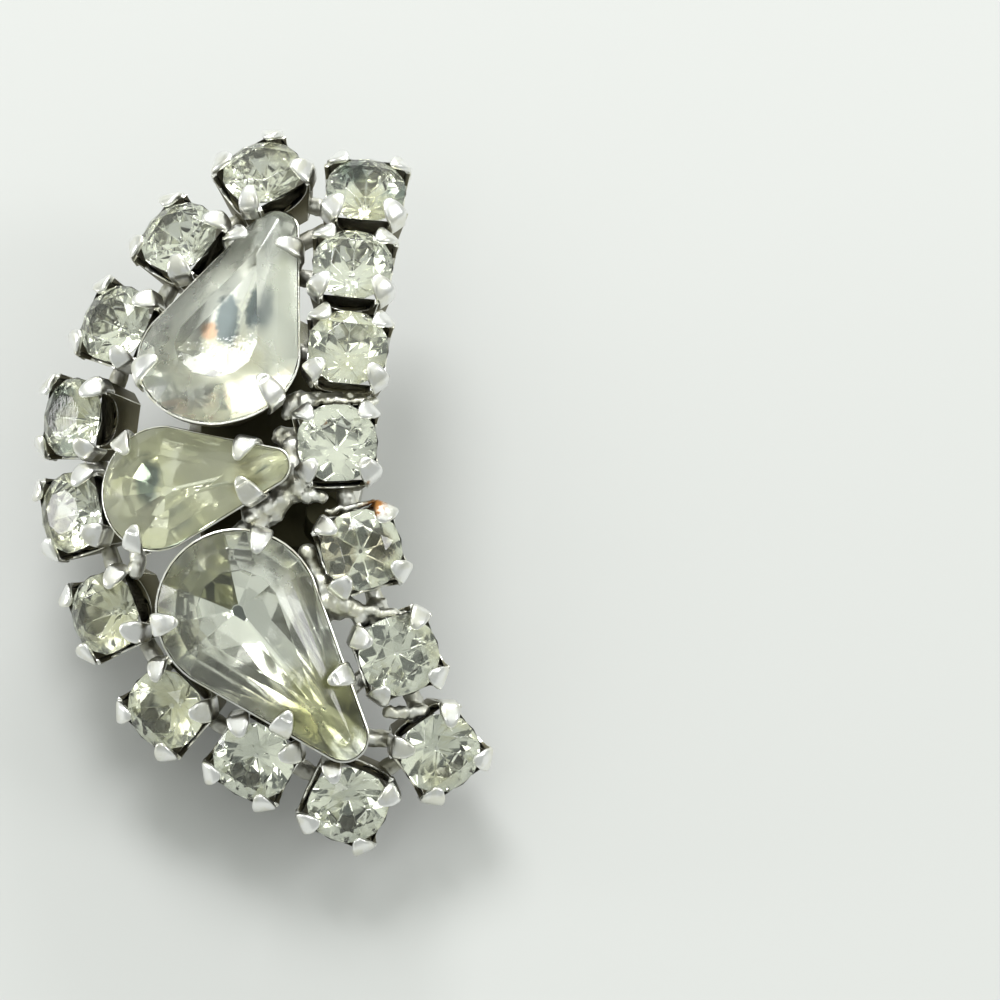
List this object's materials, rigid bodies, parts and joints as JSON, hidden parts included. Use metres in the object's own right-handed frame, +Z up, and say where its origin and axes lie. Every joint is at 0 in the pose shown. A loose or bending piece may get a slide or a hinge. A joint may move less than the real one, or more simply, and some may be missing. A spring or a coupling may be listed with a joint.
{
  "type": "rhinestone clip earring",
  "caption": "Domed crescent clip earring: round stones in square prong settings around three pear stones, lying face up on its hinged ear clip.",
  "frame": {"origin": "on the surface that the earring lies on, under the middle of its box", "axes": "+X across the crescent towards its straight inner column, +Y along the crescent to its upper end, +Z up, the way the stones face"},
  "size_m": [0.0227, 0.0356, 0.0144],
  "materials": {
    "plated_metal": "silver-coloured plating, worn and tarnished in the corners",
    "crystal": "cut clear glass with a foiled back",
    "aged_crystal": "cut clear glass whose foiled back has aged to yellow-green"
  },
  "bodies": {
    "root": {"setting": "plated_metal", "outer_stone_1": "crystal", "outer_stone_2": "crystal", "outer_stone_3": "crystal", "outer_stone_4": "crystal", "outer_stone_5": "crystal", "outer_stone_6": "crystal", "outer_stone_7": "crystal", "outer_stone_8": "crystal", "outer_stone_9": "crystal", "inner_stone_1": "crystal", "inner_stone_2": "crystal", "inner_stone_3": "crystal", "inner_stone_4": "crystal", "inner_stone_5": "crystal", "inner_stone_6": "crystal", "inner_stone_7": "crystal", "pear_stone_top": "crystal", "pear_stone_middle": "aged_crystal", "pear_stone_bottom": "crystal", "ear_clip": "plated_metal"}
  },
  "joints": []
}
